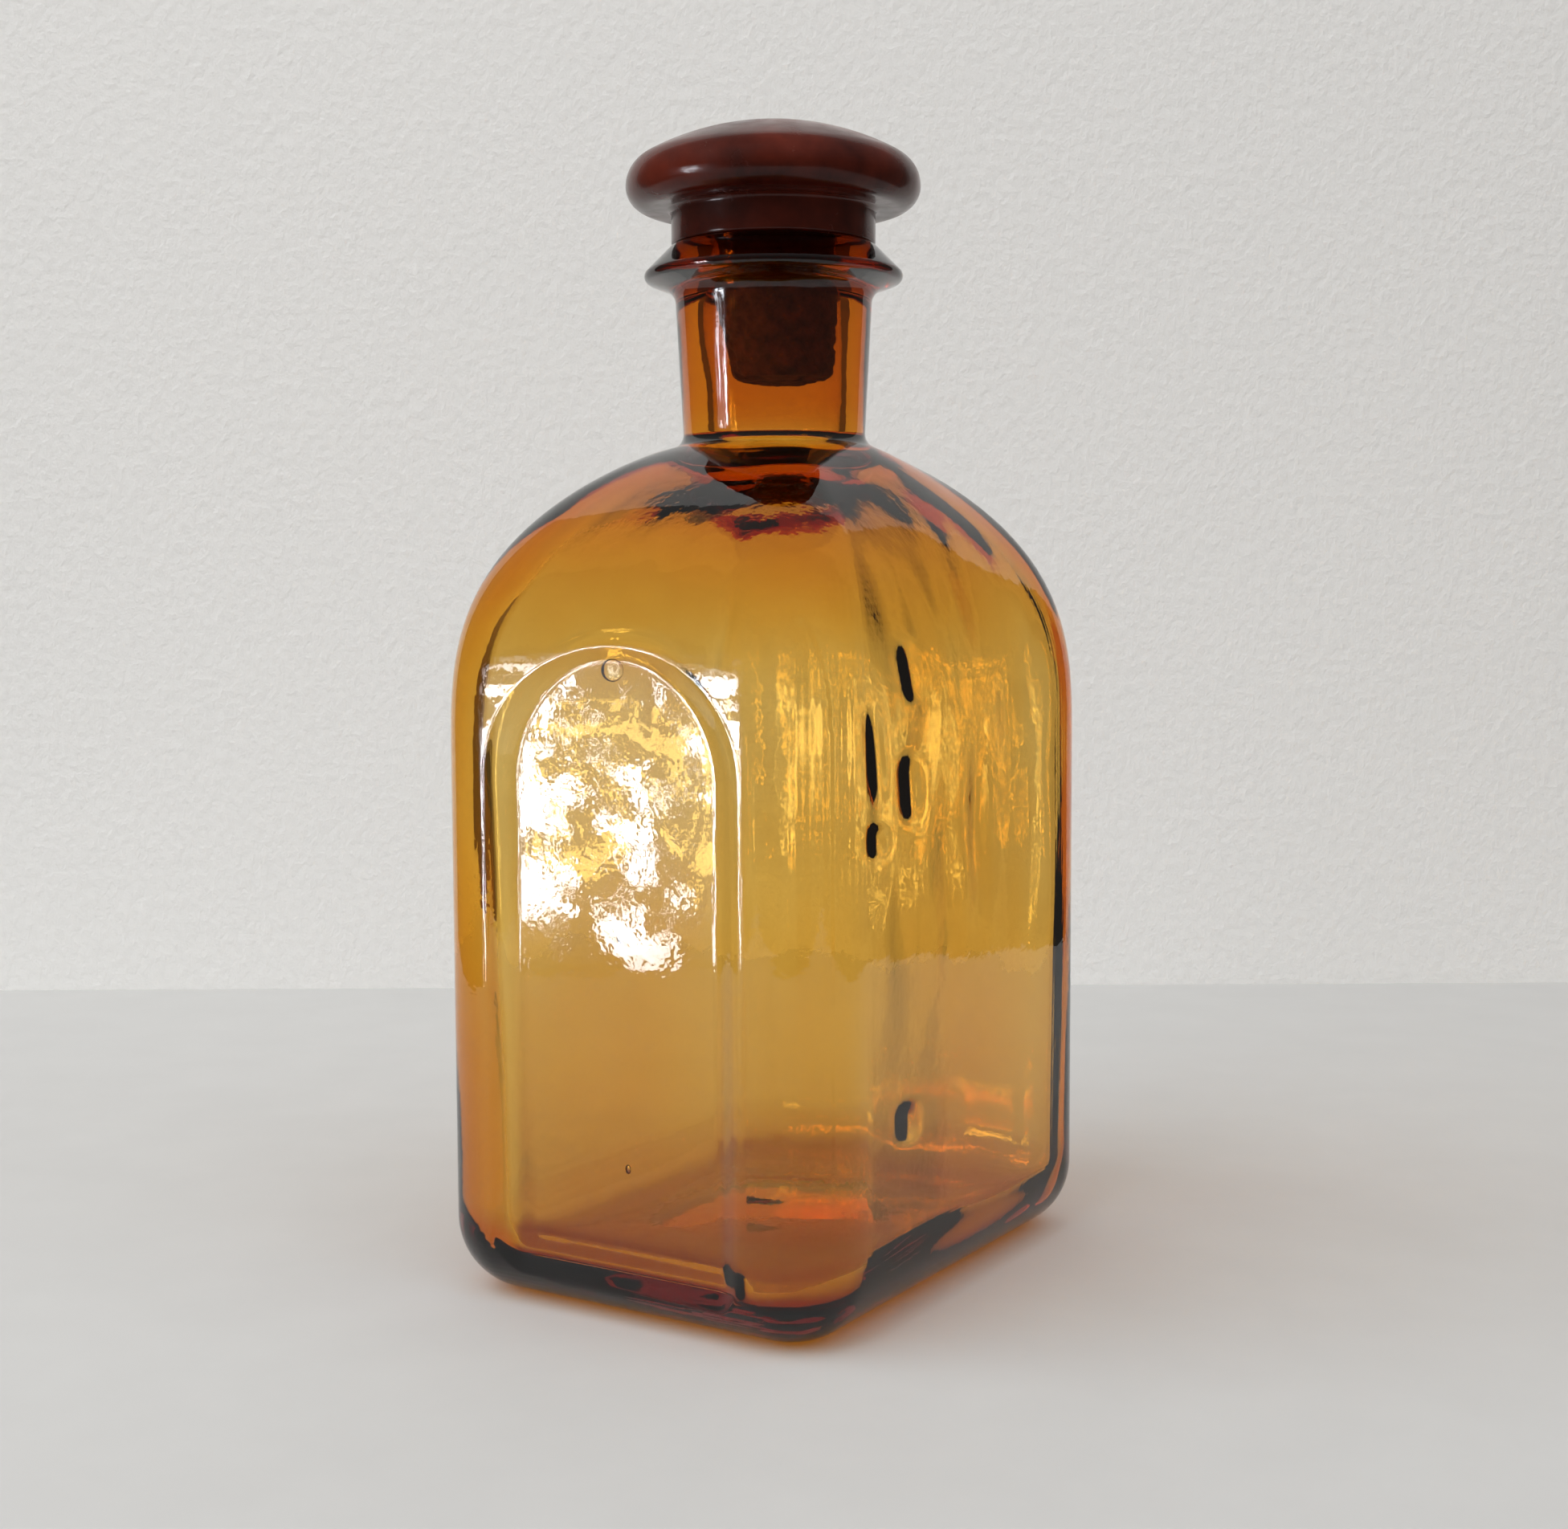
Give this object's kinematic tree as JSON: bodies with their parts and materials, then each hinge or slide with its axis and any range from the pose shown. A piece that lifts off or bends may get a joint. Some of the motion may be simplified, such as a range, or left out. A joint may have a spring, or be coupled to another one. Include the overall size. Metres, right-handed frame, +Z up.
{
  "type": "reagent bottle",
  "caption": "Rectangular amber glass reagent bottle with domed shoulder, recessed label panel, ringed neck and a mushroom-headed stopper with a tapered cork plug that lifts out.",
  "frame": {"origin": "centre of the base, on the surface that the bottle stands on", "axes": "+Z up along the neck, -Y out of the label panel, X along the narrower side of the body"},
  "size_m": [0.072, 0.092, 0.1831],
  "materials": {
    "amber_glass": "glossy transparent amber",
    "knob_resin": "polished red-brown",
    "cork": "rough dark cork"
  },
  "bodies": {
    "vessel": {"bottle": "amber_glass"},
    "stopper": {"stopper_knob": "knob_resin", "cork_plug": "cork"}
  },
  "joints": [
    {"name": "stopper_lift", "type": "slide", "parent": "vessel", "child": "stopper", "axis": [0, 0, 1], "range_m": [0, 0.04]}
  ]
}
